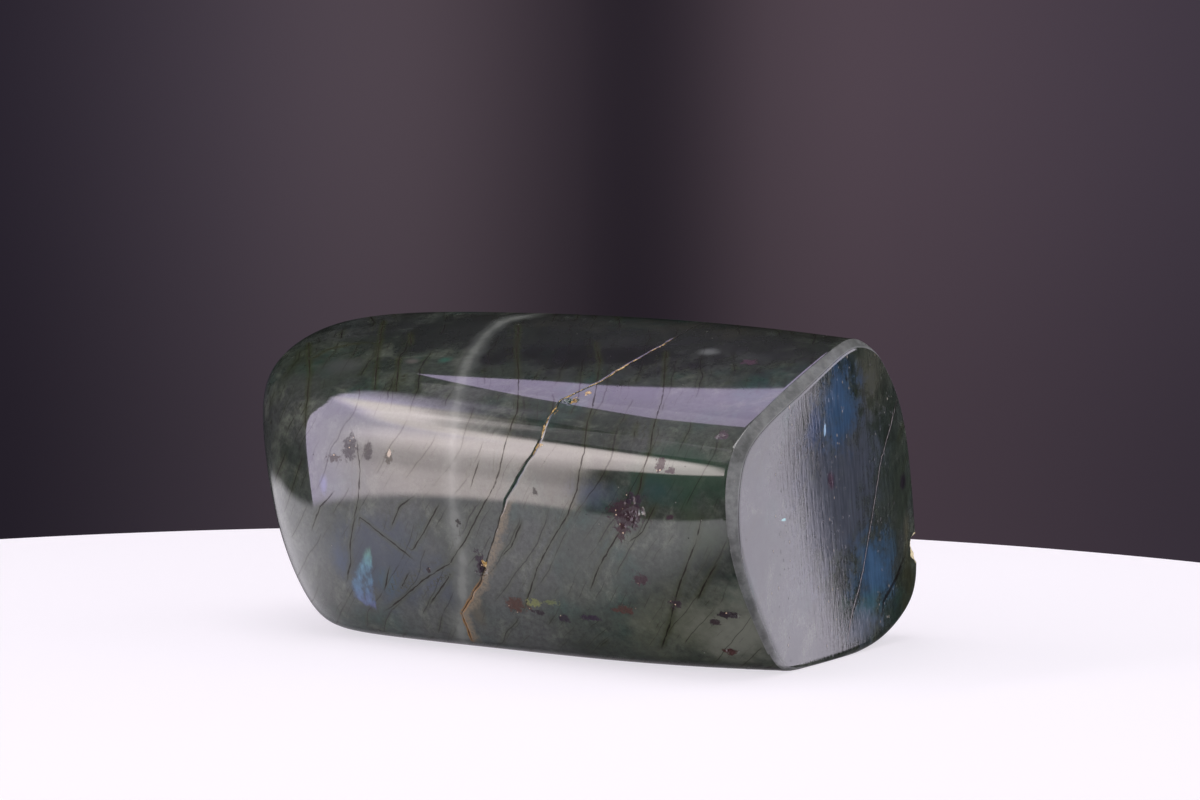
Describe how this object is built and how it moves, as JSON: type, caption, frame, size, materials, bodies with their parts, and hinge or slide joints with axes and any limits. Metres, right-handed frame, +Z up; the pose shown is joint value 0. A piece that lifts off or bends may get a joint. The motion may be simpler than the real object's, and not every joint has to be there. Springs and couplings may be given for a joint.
{
  "type": "polished labradorite stone",
  "caption": "Free-standing hand-polished labradorite, a rounded block with one flat sawn end, a flat base and a chipped edge.",
  "frame": {"origin": "middle of the bottom of the stone's box, on the surface that it stands on", "axes": "+X along the stone towards its flat sawn end, +Y to its back, +Z up"},
  "size_m": [0.0905, 0.0517, 0.0451],
  "materials": {
    "polished_stone": "hand-polished, glassy"
  },
  "bodies": {
    "root": {"labradorite": "polished_stone"}
  },
  "joints": []
}
